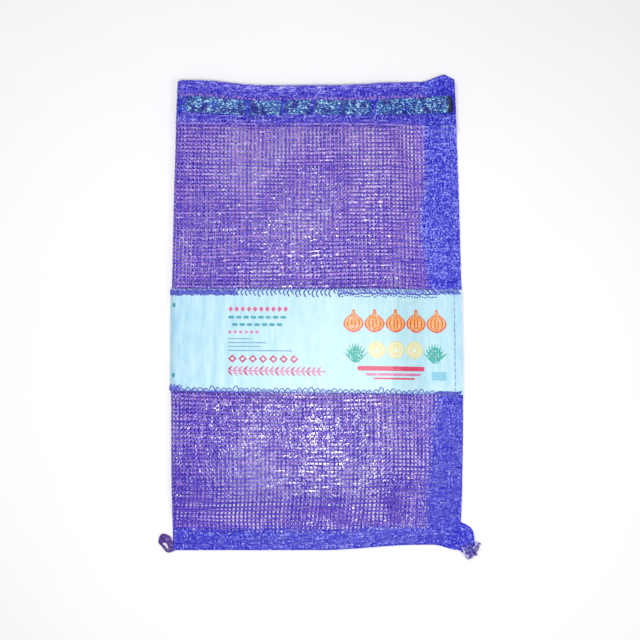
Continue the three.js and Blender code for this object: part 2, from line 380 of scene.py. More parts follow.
# Flexographic ink on that cloth: thin, missing between the tapes so that the white shows in specks
def ink(name, colour, worn):
    material, tree, shader = newMaterial(name, {"IOR": 1.5, "Roughness": 0.4})
    place = addNode(tree, "TexCoord").outputs["Object"]
    weave = tapeCheck(tree, place, "MINIMUM")
    speck = addNode(
        tree, "TexNoise", {"Scale": 1 / (2.2 * mm), "Detail": 2.0}, {"Vector": place}
    )  # specks some 2.2 mm wide
    wear = addNode(tree, "Math", {"operation": "MULTIPLY_ADD", 1: -0.22}, {0: weave, 2: speck})
    limits = {"From Min": 0.6 - worn, "From Max": 0.72 - worn, "To Max": 0.3 + 3 * worn}
    bare = addNode(tree, "MapRange", limits, {"Value": wear})
    colours = {"data_type": "RGBA", 6: linear(colour), 7: linear("#D0E8E8")}
    mix = addNode(tree, "Mix", colours, {0: bare})
    tree.links.new(mix.outputs[2], shader.inputs["Base Color"])
    return material


# Drawstring of woven polypropylene film tape: dark, glossy and crushed, with painted glints in small flakes
# and painted shade in patches
stringTape, tree, shader = newMaterial("darkWovenFilmTape", {"IOR": 1.5, "Roughness": 0.2})
place = addNode(tree, "TexCoord").outputs["Object"]
paintedFacingPatch = addNode(
    tree, "TexNoise", {"Scale": 1 / (7 * mm), "Detail": 4.0}, {"Vector": place}
)  # patches some 7 mm wide, painted dark where they are taken as turned away from the light
dyeAndPaintedLight = addNode(tree, "ValToRGB", {"stops": ((0.38, "#041684"), (0.68, "#105CAE"))}, {"Fac": paintedFacingPatch})
flakeSize = (2.4, 1.3, 2.4)  # the weave's flakes, drawn 2.4 mm long so that their painted glints show
flat = addNode(tree, "Mapping", {"Scale": [1 / (size * mm) for size in flakeSize]}, {"Vector": place})
flakes = addNode(tree, "TexNoise", {"Scale": 1.0, "Detail": 1.0}, {"Vector": flat})
paintedGlintMask = addNode(tree, "MapRange", {"From Min": 0.55, "From Max": 0.67}, {"Value": flakes})
paintedLitPatches = addNode(
    tree, "MapRange", {"From Min": 0.4, "From Max": 0.52}, {"Value": paintedFacingPatch}
)  # painted shade: patches taken as turned away get no painted glints and stay dark
paintedGlitter = addNode(tree, "Math", {"operation": "MULTIPLY"}, {0: paintedGlintMask, 1: paintedLitPatches})
# painted glints, pale cyan
sheen = addNode(tree, "Mix", {"data_type": "RGBA", 7: linear("#B8EEFF")}, {0: paintedGlitter, 6: dyeAndPaintedLight})
acrossBag = addNode(tree, "SeparateXYZ", {}, {"Vector": place})
nearEnd = addNode(tree, "MapRange", {"From Min": 129 * mm, "From Max": 134 * mm}, {"Value": acrossBag})
paintedSeamShade = addNode(
    tree, "Mix", {"data_type": "RGBA", 7: linear("#061438")}, {0: nearEnd, 6: sheen.outputs[2]}
)  # painted shade: the cut ends are bunched at the seam and darkened
tree.links.new(paintedSeamShade.outputs[2], shader.inputs["Base Color"])
bump = addNode(tree, "Bump", {"Strength": 1.0, "Distance": 1.2 * mm}, {"Height": flakes})
tree.links.new(bump.outputs[0], shader.inputs["Normal"])

# Spun polyester sewing thread: dull, uneven in tone, with the twist of its plies
sewingThread, tree, shader = newMaterial("spunPolyesterThread", {"IOR": 1.55, "Roughness": 0.55})
place = addNode(tree, "TexCoord").outputs["Object"]
settings = {"bands_direction": "DIAGONAL", "Scale": bandScale(0.7), "Distortion": 2.0}  # plies 0.7 mm apart
ply = addNode(tree, "TexWave", settings, {"Vector": place}).outputs["Fac"]
uneven = addNode(tree, "TexNoise", {"Scale": 1 / (4 * mm), "Detail": 3.0}, {"Vector": place})
tone = addNode(tree, "Math", {"operation": "MULTIPLY_ADD", 1: 0.2}, {0: ply, 2: uneven})
hue = addNode(tree, "ValToRGB", {"stops": ((0.4, "#2C26A4"), (0.95, "#6C78E0"))}, {"Fac": tone})
tree.links.new(hue.outputs["Color"], shader.inputs["Base Color"])

# Matt board for the floor: pale, with faint clouds some 170 mm wide
paleBoard, tree, shader = newMaterial("mattPaleBoard", {"Roughness": 0.8})
place = addNode(tree, "TexCoord").outputs["Object"]
grain = addNode(tree, "TexNoise", {"Scale": 6.0, "Detail": 5.0}, {"Vector": place})
colours = {"data_type": "RGBA", 6: linear("#F4F1F2"), 7: linear("#F8F6F7")}
paint = addNode(tree, "Mix", colours, {0: grain})
tree.links.new(paint.outputs[2], shader.inputs["Base Color"])
print("materials made")

# Net: one leno-woven sheet, turned in at the mouth, the foot and the side seam
net = {
    "warps": 148,  # round the girth, 4 mm apart
    "flapWarps": 8,  # more of them in each turned-in strip at the seam
    "pitch": 3.92,  # from pick to pick
    "hemPitch": 2.1,  # closer in the hem above the slack row
    "firstPick": 0.45,  # past the mouth's edge
    "holeRow": tapeLevel + 9.2,  # a slack row above the drawstring
    "holeGap": 1.1,
    "rowClear": 1.6,
    "footTurn": 20,  # depth of the foot's turned-in strip
    "footShare": (0.92, 0.14),  # of that depth at the fold, and how much more at the seam
    "footBare": (3, 2),  # no pick this near to the foot's edge, below and above it
    "edgeInset": 0.4,  # of the picks and warps that lie along turned edges
    "edgeMargin": 0.2,
    "hemRoll": 0.85,
    "sewnRoll": 0.3,
    "splitLevel": 0,
    # Tapes
    "weftWidth": 1.35,
    "groundWidth": 1.35,
    "crossWidth": 1.45,
    "widthSpread": 0.1,
    "sewnSpread": 0.15,  # pressed wider in sewn cloth
    "thickness": 0.09,
    "depth": 0.4,  # the net's middle below the bag's outer face
    "clear": 0.03,  # nothing lies nearer to that face
    "pressed": 0.55,  # how much of its thickness the weave keeps in sewn cloth
    "pressFade": 12,
    "weftWave": 0.03,
    "groundLift": 0.12,  # the straight end passes under the weft
    "overLift": -0.17,  # the crossing end passes over it
    "underLift": 0.26,  # and between picks under the straight end
    "swing": 0.55,  # to either side of the straight end by turns
    "endReach": 0.3,  # of a pick past its last warp
    "warpReach": 0.9,  # of a warp past its last pick
    "twist": 0.09,  # radians
    "sewnTwist": 0.12,  # more of it where the cloth is crumpled by sewing
    "twistMost": 0.38,  # where a tape is turned over
    "twistedShare": 0.12,
    "twistLimit": 0.8,
    "slowTurn": (0.1, 0.5),  # of a tape's slow twist and change of tone, radians from crossing to crossing
    # Slack and unevenness
    "slack": 1.1,
    "slackWaves": 5,
    "slackLengths": (80, 240),
    "slackSpan": (20, 65),  # from the seam
    "slackFade": 25,  # from the foot and the mouth
    "drift": 0.2,  # of each whole tape
    "shift": 0.08,  # of each crossing
    "sewnShift": 0.42,
    "edgeHold": (0.5, 3),  # crossings on the turned edges stay in place
    "hemHold": (0.8, 4),
    "flapFade": 8,
    "flapSway": 0.7,
    "flapSwayLength": 210,
    "footFade": 6,
    "hemFade": (3, 11),
    "hemSway": 1.6,
    "hemSwayLength": 230,
    "hemSwayPhase": 0.5,
    "stripLevels": (-215, -180, -152, -122, -95, -55, 45, 68, 88, 108, 130, 170, 215),
    "stripMore": (0, 0, -2.5, -4.5, -7.5, -7.5, -0.5, 3, 5.5, 3, -1, -1.5, 0),  # added to the strip's width
    # Rear layer, whose picks and warps lie between the front's in places, so that few holes are left
    "foldFade": 15,
    "rearDrop": 1.9,  # of the picks just above the foot
    "rearDropSpan": (2, 12, 16, 30),
    "rearLevels": (-231, -219, -178, -156),
    "rearAside": (1.5, -1.6, -1.6, 1.5),  # of the warps by the seam, at those levels
    "rearAsideSpan": (8, 24, 58, 82),
    "footAside": 1.6,  # of the warps along the rest of the foot
    "footAsideFold": (-2, 8),
    "footAsideFade": (22, 34),
    # Tones of the dye, with painted light and shade
    "tone": (0.61, 0.48),  # of single and of doubled cloth, doubled cloth deeper as painted shade
    "paintedFootShade": (0.1, 0.39),  # painted shade: how much deeper it is towards the foot, where the front lamp lights it more
    "paintedFootShadeSpan": (-110, 60),
    "paintedLowShade": 0.07,  # painted shade, deeper still for single cloth in the lowest part
    "paintedLowShadeSpan": (-165, -115),
    "warpTone": -0.2,  # the warps look deeper than the weft
    "weftTone": 0.14,
    "toneSpread": (0.12, 0.1, 0.16),  # from tape to tape, along a tape and from crossing to crossing
    "sewnEven": 0.6,  # doubled cloth differs less from tape to tape
    "sewnFlecks": 1.2,  # and more from crossing to crossing: uneven tone, and painted glints
    "sewnFade": 6,
    "hemBlue": 0.75,
    "hemBlueSpan": (-2, 6),
    "paintedStringShade": 0.8,  # painted shade: deeper in tone where the drawstring lies under the net
    "stringSpan": (6.5, 9),
    "paintedStringShadeTone": 0.7,
    "paintedLightRow": 0.6,  # painted light: paler in the layer seen through the slack row
    "paleAside": 0.9,
    "strandShift": 40,  # so that no two tapes have the same draw lines
}
hemEdge = bag["mouth"] - net["hemRoll"] - net["edgeMargin"]
footEdge = bag["foot"] + net["sewnRoll"] + net["edgeMargin"]
hemLow = bag["mouth"] - bag["hemDepth"]
warpPitch = girthAll / net["warps"]


def turnIn(past, depth, radius):
    # cloth that runs past an edge rolls over a small radius and lies back under itself
    roll = np.clip(past / radius, 0, np.pi)
    back = np.maximum(past - np.pi * radius, 0)
    outward = np.where(past < 0, past, (radius - depth) * np.sin(roll) - back)
    below = np.where(past < 0, depth, radius - (radius - depth) * np.cos(roll))
    return outward, below


def netPoint(across, along, lift):
    fromStrip = np.minimum(across, girthAll - across) - bag["seamWidth"]
    fromTurn = along - footEdge - net["footTurn"]
    single = ease(fromStrip, 0, net["pressFade"]) * ease(fromTurn, 0, net["pressFade"])
    lift = lift * (net["pressed"] + (1 - net["pressed"]) * single)
    overHem, hemBelow = turnIn(along - hemEdge, lift, net["hemRoll"])
    overFoot, footBelow = turnIn(footEdge - along, lift, net["sewnRoll"])
    upper = along > net["splitLevel"]
    level = np.where(upper, hemEdge + overHem, footEdge - overFoot)
    depth = np.where(upper, hemBelow, footBelow)
    seamEdge = net["sewnRoll"]
    overFront, frontBelow = turnIn(seamEdge - across, depth, net["sewnRoll"])
    overRear, rearBelow = turnIn(across - girthAll + seamEdge, depth, net["sewnRoll"])
    front = across < girthAll / 2
    girth = np.where(front, seamEdge - overFront, girthAll - seamEdge + overRear)
    depth = np.where(front, frontBelow, rearBelow)
    return wallPoint(girth, level, np.maximum(net["depth"] + depth, net["clear"]))


def slackField(across, along):
    # slow waves of slack in the weave, which make the two layers' holes meet and part
    total = np.zeros_like(across)
    for _ in range(net["slackWaves"]):
        turn = rng.uniform(0, np.pi)
        length = rng.uniform(*net["slackLengths"])
        phase = rng.uniform(0, 2 * np.pi)
        run = across * np.cos(turn) + along * np.sin(turn)
        total += rng.normal() * wave(run, length, phase)
    return net["slack"] * total / np.sqrt(net["slackWaves"] / 2)


# Where the warps and picks lie
flap = net["flapWarps"]
warpAt = (np.arange(-flap, net["warps"] + flap) + 0.5) * warpPitch
warpAt = np.sort([*warpAt, net["edgeInset"], girthAll - net["edgeInset"]])
bodyWarp = (warpAt > 0) & (warpAt < girthAll)
steps = np.arange(130)  # more than any stretch of picks needs
row = net["holeRow"]
closePick = hemEdge + net["firstPick"] - steps * net["hemPitch"]  # from the edge down to the slack row
closePick = closePick[closePick > row + net["holeGap"] + net["rowClear"]]
openPick = row - net["holeGap"] - (steps + 0.5) * net["pitch"]
openPick = openPick[openPick > footEdge - net["footTurn"]]
bareBelow, bareAbove = net["footBare"]
openPick = openPick[(openPick > footEdge + bareAbove) | (openPick < footEdge - bareBelow)]
turnedPick = row - net["holeGap"] - (steps + 1) * net["pitch"]  # the hem's inner layer lies half a pitch off
paintedLightPick = row + net["paleAside"] * np.array([-1, 1])
turnedPick = np.concatenate([closePick - net["hemPitch"] / 3, paintedLightPick, turnedPick[turnedPick > hemLow]])
hemTurn = 2 * hemEdge + np.pi * net["hemRoll"]
turnedPick = hemTurn - turnedPick
paintedLightPick = hemTurn - paintedLightPick
footBack = footEdge - np.pi * net["sewnRoll"]
edgePick = [footEdge + net["edgeInset"], footBack - net["edgeInset"]]
pickAt = np.sort(np.concatenate([openPick, closePick, turnedPick, edgePick]))
longPick = (pickAt > footEdge + 2 * net["edgeInset"]) & (pickAt < hemLow)  # they run on into the flaps

# Where they cross, and what pulls them aside there
gridAcross, gridAlong = np.meshgrid(warpAt, pickAt, indexing="ij")
fromSeam = np.minimum(gridAcross, girthAll - gridAcross)
fromFoot = gridAlong - footEdge
fromHem = hemEdge - gridAlong
pastFold = gridAcross - girthAll / 2
pastSeam = np.minimum(gridAcross, 0) + np.maximum(gridAcross - girthAll, 0)
inAcross = ease(fromSeam, *net["slackSpan"])
inAlong = ease(fromFoot, 0, net["slackFade"]) * ease(fromHem, 0, net["slackFade"])
inFlap = ease(-fromSeam, 0, net["flapFade"])
inHem = ease(-fromHem, *net["hemFade"])
inFoot = ease(-fromFoot, 0, net["footFade"])
onRear = ease(pastFold, -net["foldFade"], net["foldFade"])
stripMore = np.interp(gridAlong, net["stripLevels"], net["stripMore"])
fromStrip = np.minimum(fromSeam - bag["seamWidth"] - stripMore, fromFoot - bag["footSeam"])
sewn = 1 - ease(fromStrip, 0, net["sewnFade"])
pullAcross = inAcross * slackField(gridAcross, gridAlong)
pullAcross += net["hemSway"] * inHem * wave(gridAcross, net["hemSwayLength"], net["hemSwayPhase"])
pullAcross += (inFoot + inFlap) * warpPitch / 2
pullAcross += pastSeam * stripMore / bag["seamWidth"]
rearAside = np.interp(gridAlong, net["rearLevels"], net["rearAside"])
pullAcross += rearAside * onRear * band(fromSeam, *net["rearAsideSpan"])
footAside = net["footAside"] * ease(pastFold, *net["footAsideFold"])
footAside = footAside * (1 - ease(fromFoot, *net["footAsideFade"]))
pullAcross += footAside * ease(fromSeam, *net["rearAsideSpan"][2:])
pullAlong = inAlong * slackField(gridAcross, gridAlong)
pullAlong += inFlap * (net["pitch"] / 2 + net["flapSway"] * wave(gridAlong, net["flapSwayLength"]))
footShare, shareMore = net["footShare"]
pullAlong += np.minimum(fromFoot, 0) * (footShare + shareMore * (1 - fromSeam / span) - 1)
pullAlong += net["rearDrop"] * onRear * band(fromFoot, *net["rearDropSpan"])
bluer = np.maximum(sewn, net["hemBlue"] * ease(gridAlong - hemLow, *net["hemBlueSpan"]))  # doubled cloth, which gets the deeper blue of painted shade; painted shade and painted light are added below
held = ease(np.abs(fromSeam), *net["edgeHold"]) * ease(np.abs(fromFoot), *net["edgeHold"])
held = held * ease(np.abs(fromHem), *net["hemHold"])
loose = (net["shift"] + net["sewnShift"] * bluer) * held
for pull, inside, size in ((pullAcross, inAcross, (len(warpAt), 1)), (pullAlong, inAlong, (1, len(pickAt)))):
    pull += loose * rng.normal(size=loose.shape)
    pull += net["drift"] * inside * rng.normal(size=size)
# painted shade on the net where the drawstring lies under it
bluer = bluer + net["paintedStringShade"] * (1 - ease(np.abs(gridAlong - tapeLevel), *net["stringSpan"]))
inOpen = np.abs(fromSeam[:, :1]) > bag["seamWidth"] - net["sewnFade"]
# painted light on the picks seen through the slack row, in the open net; in the seam strips they count as
# doubled
bluer[:, np.isin(pickAt, paintedLightPick)] = np.where(inOpen, -net["paintedLightRow"], 1)
gridAcross = gridAcross + pullAcross
gridAlong = gridAlong + pullAlong


def stretchEnds(values, reach):
    # the ends of each tape stand a little past its last crossing
    first = values[:, :1] - reach
    last = values[:, -1:] + reach
    return np.concatenate([first, values, last], 1)


def strandOf(tone, run, blue):
    # for the tape's finish: tone, with its painted light and shade, place along the tape, side of it, and
    # whether the cloth is doubled
    sides = len(meshing["tapeCorners"])
    strand = np.zeros((*tone.shape, sides, 4))
    strand[..., 0] = tone[..., None]
    strand[..., 1] = run[..., None] + net["strandShift"] * rng.normal(size=(len(tone), 1, 1))
    strand[..., 2] = np.linspace(-1, 1, sides)
    strand[..., 3] = np.clip(blue, 0, 1)[..., None]
    return strand.reshape(-1, 4)


def tapes(across, along, lift, blue, width, sideAxis):
    # flat tapes through rows of stations; sideAxis says which way their width lies
    threads, stations = across.shape
    doubled = np.clip(blue, 0, 1)
    turn = rng.normal(size=(threads, stations))
    turned = rng.random(turn.shape) < net["twistedShare"]
    turn *= np.where(turned, net["twistMost"], net["twist"] + net["sewnTwist"] * np.minimum(blue, 1))
    slow = rng.uniform(0, 2 * np.pi, (threads, 1))
    slow = slow + np.arange(stations) * rng.uniform(*net["slowTurn"], (threads, 1))
    twist = (turn + net["twist"] * np.sin(slow)).clip(-net["twistLimit"], net["twistLimit"])
    spread = 1 + net["sewnSpread"] * doubled
    half = width / 2 * spread * (1 + net["widthSpread"] * rng.normal(size=twist.shape).clip(-2, 2))
    thin = net["thickness"] / 2
    highest = half * np.abs(np.sin(twist)) + thin + net["clear"] - net["depth"]
    centre = np.stack([across, along, np.maximum(lift, highest)], -1)  # none stands out of the bag's face
    corners = []
    for a, b in meshing["tapeCorners"]:
        spot = centre.copy()
        spot[..., sideAxis] += a * half * np.cos(twist) - b * thin * np.sin(twist)
        spot[..., 2] += a * half * np.sin(twist) + b * thin * np.cos(twist)
        corners.append(netPoint(spot[..., 0], spot[..., 1], spot[..., 2]))
    byTape, slowly, byCrossing = net["toneSpread"]
    # painted shade: deeper towards the foot and in the lowest part
    towardsFoot = 1 - ease(along, *net["paintedFootShadeSpan"])
    single, double = (above - below * towardsFoot for above, below in zip(net["tone"], net["paintedFootShade"]))
    single = single + net["warpTone" if sideAxis == 0 else "weftTone"]
    single = single - net["paintedLowShade"] * (1 - ease(along, *net["paintedLowShadeSpan"]))
    tone = single + (double - single) * doubled - net["paintedStringShadeTone"] * (blue - doubled)
    uneven = slowly * np.sin(slow) + byTape * rng.normal(size=(threads, 1))
    tone = tone + (1 - net["sewnEven"] * doubled) * uneven
    tone = tone + byCrossing * (1 + net["sewnFlecks"] * doubled) * rng.normal(size=tone.shape)
    run = along if sideAxis == 0 else across
    return (*closedSections(np.stack(corners, 2)), strandOf(tone, run, blue))


def weftTapes(picks, warps):
    across, along, blue = (grid[warps][:, picks].T for grid in (gridAcross, gridAlong, bluer))
    across = stretchEnds(across, net["endReach"])
    lift = net["weftWave"] * rng.normal(size=across.shape)
    return tapes(across, stretchEnds(along, 0), lift, stretchEnds(blue, 0), net["weftWidth"], 1)


def warpTapes(warps, picks):
    # the straight ground end and the end that crosses it between picks
    across, along, blue = (grid[warps][:, picks] for grid in (gridAcross, gridAlong, bluer))
    ends = stretchEnds(across, 0)
    lift = np.full(ends.shape, net["groundLift"])
    run = stretchEnds(along, net["warpReach"])
    ground = tapes(ends, run, lift, stretchEnds(blue, 0), net["groundWidth"], 0)
    side = np.where(picks % 2 == 0, net["swing"], -net["swing"])
    crossing = []
    for values, atPick in ((across, side), (along, 0), (blue, 0)):
        both = np.repeat(values, 2, 1)[:, :-1]
        both[:, 1::2] = (values[:, 1:] + values[:, :-1]) / 2
        both[:, ::2] += atPick
        crossing.append(both)
    across, along, blue = crossing
    lift = np.where(np.arange(across.shape[1]) % 2 == 0, net["overLift"], net["underLift"])
    lift = np.broadcast_to(lift, across.shape)
    return [ground, tapes(across, along, lift, blue, net["crossWidth"], 0)]


warpIndex = np.arange(len(warpAt))
pickIndex = np.arange(len(pickAt))
middleWarp = np.searchsorted(warpAt, girthAll / 2)
middlePick = np.searchsorted(pickAt, net["splitLevel"])
for faceName, warpSide in (("front", warpIndex < middleWarp), ("rear", warpIndex >= middleWarp)):
    for partName, pickSide in (("lower", pickIndex < middlePick), ("upper", pickIndex >= middlePick)):
        joinWarp = warpIndex[warpSide | (warpIndex == middleWarp)]  # the parts meet on this warp
        joinPick = pickIndex[pickSide | (pickIndex == middlePick)]  # and on this pick
        parts = [
            weftTapes(pickIndex[pickSide & longPick], joinWarp),
            weftTapes(pickIndex[pickSide & ~longPick], joinWarp[bodyWarp[joinWarp]]),
            *warpTapes(warpIndex[warpSide & bodyWarp], joinPick),
            *warpTapes(warpIndex[warpSide & ~bodyWarp], joinPick[longPick[joinPick]]),
        ]
        piece = makePiece(f"net_{faceName}_{partName}", parts, netTape)
        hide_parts("net_bag")

# Label band of woven cloth, sewn round the outside
label = {
    "lift": 0.3,  # its under face above the bag's outer face
    "thickness": 0.3,
    "columns": 236,
    "rows": 40,
    "edge": 0.25,
    "frontFade": 20,  # ripples and swell end this far before the fold
    "rippleAt": 255,  # soft upright ripples near the fold
    "rippleReach": 30,
    "ripplePitch": 14,
    "rippleLean": 40,
    "rippleHeight": 0.35,
    "swellHeight": 0.3,
    "swellAcross": 95,
    "swellAlong": 120,
    "swellPhase": 1,
}


def labelPoint(girth, level, lift):
    front = 1 - ease(girth, span - label["frontFade"], span)
    near = np.exp(-(((girth - label["rippleAt"]) / label["rippleReach"]) ** 2))
    ripple = near * (0.5 + 0.5 * wave(girth, label["ripplePitch"], level / label["rippleLean"]))
    swell = wave(girth, label["swellAcross"], label["swellPhase"]) * wave(level, label["swellAlong"])
    rise = label["rippleHeight"] * ripple + label["swellHeight"] * (0.5 + 0.5 * swell)
    return wallPoint(girth, level, -label["lift"] - lift - front * rise)


labelGrid = np.meshgrid(
    np.linspace(label["edge"], girthAll - label["edge"], label["columns"]),
    np.linspace(bag["labelLow"] + label["edge"], bag["labelHigh"] - label["edge"], label["rows"]),
    indexing="ij",
)
labelParts = [slab(*labelGrid, labelPoint, 0, label["thickness"])]
labelPiece = makePiece("printed_label", labelParts, labelCloth, smooth=True)
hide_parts("label_band")

# Print on the label: rows of plain ornament at the left, onions, onion slices and leaves at the right
inks = {
    "rose": ink("roseFlexoInk", "#D2528A", 0.04),
    "magenta": ink("magentaFlexoInk", "#B92A6A", 0.06),
    "pink": ink("pinkFlexoInk", "#D070A0", 0.05),
    "teal": ink("tealFlexoInk", "#2F98AC", 0.04),
    "slate": ink("slateFlexoInk", "#6AA0BC", 0.02),
    "scarlet": ink("scarletFlexoInk", "#D43C40", 0.06),
    "amber": ink("amberFlexoInk", "#E8A850", 0.1),
    "yellow": ink("yellowFlexoInk", "#E2D288", 0.1),
    "leaf": ink("leafGreenFlexoInk", "#1FA49C", 0.12),
    "crimson": ink("crimsonFlexoInk", "#D03A62", 0.03),
    "pale": ink("paleTealFlexoInk", "#78BCD4", 0.06),
    "white": ink("whiteFlexoInk", "#D4EAEA", 0),
}
printed = {
    "lift": label["thickness"] + 0.05,
    "thickness": 0.05,
    "layer": 0.06,
    "step": 2.0,  # of the grid that follows the cloth
    "points": 11,  # at least, along an outline
    "tip": 0.99,  # outlines end just short of their tips
    "left": -90.3,
    "rows": (
        # first, last, from one to the next, level, width, height, roundness, ink
        (-88.0, -31, 6.1, 3.0, 4.8, 5.8, 1, "rose"),
        (-87.4, -32, 7.4, -5.3, 5.6, 2.8, 4, "teal"),
        (-83.7, -35, 7.4, -12.7, 5.6, 2.8, 4, "teal"),
        (-88.6, -57, 5.4, -20.2, 3.2, 3.2, 2, "pink"),
        (-86.0, -24, 10.2, -47.2, 8.6, 8.4, 1, "magenta"),
    ),
    "inset": 0.42,  # of the white fields in the largest row
    "rules": ((-66, -27.0), (-52, -30.9), (-58, -34.7), (-26, -38.9)),  # right end and level
    "ruleHeight": 1.1,
    "ruleRoundness": 24,
    "slices": (57.5, 76.5, 95.5),
    "sliceLevel": -37,
    "sliceRings": (17, 13.8, 12.2, 8.6, 7.2, 3.6),  # yellow and white by turns
    "stripes": (
        # left, right, level, height, ink
        (38, 106, -55.4, 4.6, "crimson"),
        (46, 102, -61.2, 2.4, "pink"),
        (54, 96, -65.2, 1.7, "crimson"),
    ),
    "stripeRoundness": 12,
    "corner": (120.5, -62.3, 15, 8.4, 16),  # x, level, width, height, roundness
    "marks": (7.0, -64.4),
    "markGirth": 289.3,
    "mark": (3, 4, 8),  # width, height, roundness
}
vine = {
    "right": 7,
    "level": -59.2,
    "stem": 1.2,
    "start": 1,  # first leaves past the left end
    "bare": 4,  # none this near to the right end
    "step": 5.2,
    "gap": 0.4,
    "length": 4.8,
    "lean": 3.4,
    "width": 2.7,
    "accent": 3,  # one pair of leaves in so many is darker
}
onion = {
    "at": (34.5, 55.5, 76.5, 97.5, 118.5),
    "level": -8.5,
    "size": (17.5, 21),
    "lines": (1.15, 1, 0.74, 0.6, 0.26, 0.12),  # shares of the width, scarlet and amber by turns
    "tall": (1.1, 0.98),  # shares of the height, of the outermost line and of the others
    "points": 26,
    "bulbTop": 0.82,
    "bulbLow": 0.9,
    "bulbFull": 0.7,
    "neck": 0.16,
    "neckSpan": (0.5, 0.72),
    "neckDraw": 0.45,
    "neckDrawSpan": (0.8, 1),
    "least": 0.04,
}
leaf = {"points": 10, "tip": 0.98, "bend": 1.6, "fullness": 0.8}
spray = {
    "at": (36.5, 116.5),
    "level": -50,
    "leaves": 9,
    "length": 20,
    "shorter": 9,  # at its sides
    "spread": 2,
    "lean": 11,
    "width": 4.2,
    "layers": 3,
}
inkParts = {name: [] for name in inks}


def fillBetween(inkName, lower, upper, layer=0):
    # a field of ink between two outlines, each a row of points with x and y on the label
    reach = np.linalg.norm(upper - lower, axis=1).max()
    share = np.linspace(0, 1, int(np.ceil(reach / printed["step"])) + 2)[None, :, None]
    spots = lower[:, None] + (upper - lower)[:, None] * share
    low = printed["lift"] + layer * printed["layer"]
    part = slab(bagRight - spots[..., 0], spots[..., 1], labelPoint, low, low + printed["thickness"])
    inkParts[inkName].append(part)


def roundOutline(x, y, width, height, roundness):
    # roundness 1 gives a diamond, 2 an oval and more of it a bar with rounded ends
    count = 2 * int(np.ceil(width / (2 * printed["step"]))) + printed["points"]
    run = -printed["tip"] * np.cos(np.linspace(0, np.pi, count))
    half = height / 2 * (1 - np.abs(run) ** roundness) ** (1 / roundness)
    run = x + width / 2 * run
    return np.stack([run, y - half], 1), np.stack([run, y + half], 1)


def barOutline(left, right, level, height, roundness):
    return roundOutline((left + right) / 2, level, right - left, height, roundness)


def onionOutline(x, y, width, height):
    rise = np.linspace(1 - printed["tip"], printed["tip"], onion["points"])
    bulb = np.sin(np.pi * np.clip(rise / onion["bulbTop"], 0, 1) ** onion["bulbLow"]) ** onion["bulbFull"]
    draw = 1 - onion["neckDraw"] * ease(rise, *onion["neckDrawSpan"])
    neck = onion["neck"] * ease(rise, *onion["neckSpan"]) * draw + onion["least"]
    half = width / 2 * np.maximum(bulb, neck)
    level = y - height / 2 + height * rise
    return np.stack([x - half, level], 1), np.stack([x + half, level], 1)


def leafOutline(x, y, lean, length, width):
    rise = np.linspace(1 - leaf["tip"], leaf["tip"], leaf["points"])
    middle = np.stack([x + lean * rise ** leaf["bend"], y + length * rise], 1)
    half = np.stack([width / 2 * np.sin(np.pi * rise ** leaf["fullness"]), 0 * rise], 1)
    return middle - half, middle + half


for first, last, step, level, width, height, roundness, inkName in printed["rows"]:
    for x in np.arange(first, last, step):
        fillBetween(inkName, *roundOutline(x, level, width, height, roundness))
        if inkName == "magenta":
            inset = printed["inset"]
            fillBetween("white", *roundOutline(x, level, inset * width, inset * height, roundness), 1)
left = printed["left"]
for right, level in printed["rules"]:
    fillBetween("slate", *barOutline(left, right, level, printed["ruleHeight"], printed["ruleRoundness"]))
stem = barOutline(left, vine["right"], vine["level"], vine["stem"], printed["ruleRoundness"])
fillBetween("pink", *stem)
for i, x in enumerate(np.arange(left + vine["start"], vine["right"] - vine["bare"], vine["step"])):
    for side in (1, -1):
        start = vine["level"] + vine["gap"] * side
        outline = leafOutline(x, start, vine["lean"], side * vine["length"], vine["width"])
        fillBetween("pink" if i % vine["accent"] else "magenta", *outline, 1)
for x in onion["at"]:
    width, height = onion["size"]
    for layer, size in enumerate(onion["lines"]):
        tall = height * onion["tall"][layer > 0]
        outline = onionOutline(x, onion["level"], size * width, tall)
        fillBetween(("scarlet", "amber")[layer % 2], *outline, layer)
for x in printed["slices"]:
    for layer, size in enumerate(printed["sliceRings"]):
        outline = roundOutline(x, printed["sliceLevel"], size, size, 2)
        fillBetween(("yellow", "white")[layer % 2], *outline, layer)
for x in spray["at"]:
    for i in range(spray["leaves"]):
        away = 2 * i / (spray["leaves"] - 1) - 1
        length = spray["length"] - spray["shorter"] * away**2
        foot = x + spray["spread"] * away
        outline = leafOutline(foot, spray["level"], spray["lean"] * away, length, spray["width"])
        fillBetween("leaf", *outline, i % spray["layers"])
for left, right, level, height, inkName in printed["stripes"]:
    fillBetween(inkName, *barOutline(left, right, level, height, printed["stripeRoundness"]))
fillBetween("pale", *roundOutline(*printed["corner"]))
for level in printed["marks"]:
    fillBetween("teal", *roundOutline(bagRight - printed["markGirth"], level, *printed["mark"]))
for inkName, parts in inkParts.items():
    piece = makePiece(f"print_{inkName}", parts, inks[inkName], smooth=True)
    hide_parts("label_band")

# Drawstring: one flat tape in the hem, all the way round, its ends out at the seam
string = {
    "width": 15,
    "thickness": 0.3,
    "depth": 1.28,  # between the hem's two layers
    "columns": 820,
    "rows": 13,
    "wander": 0.6,
    "wanderLength": 140,
    "wanderPhase": 1,
    "crinkle": 0.07,
    "creases": ((4.3, 0.7, 0), (6.1, -0.5, 1.3), (3.1, 0.25, 2.4), (9.7, 0.12, 4)),  # length, slant, phase
    "creaseSwing": 1.2,
    "swingReach": 13,
    "outDepth": -0.32,  # where it passes outside the net, on the front
    "outRuns": (  # girth from and to
        (3, 50),
        (54.5, 84),
        (89, 120.5),
        (124, 149),
        (154, 179),
        (183, 215),
        (220, 252.5),
        (256, 283),
    ),
    "dive": 3.6,  # half the length over which it passes through the net
    "diveBend": 0.05,  # along a curved line
    "endInset": 0.8,
}


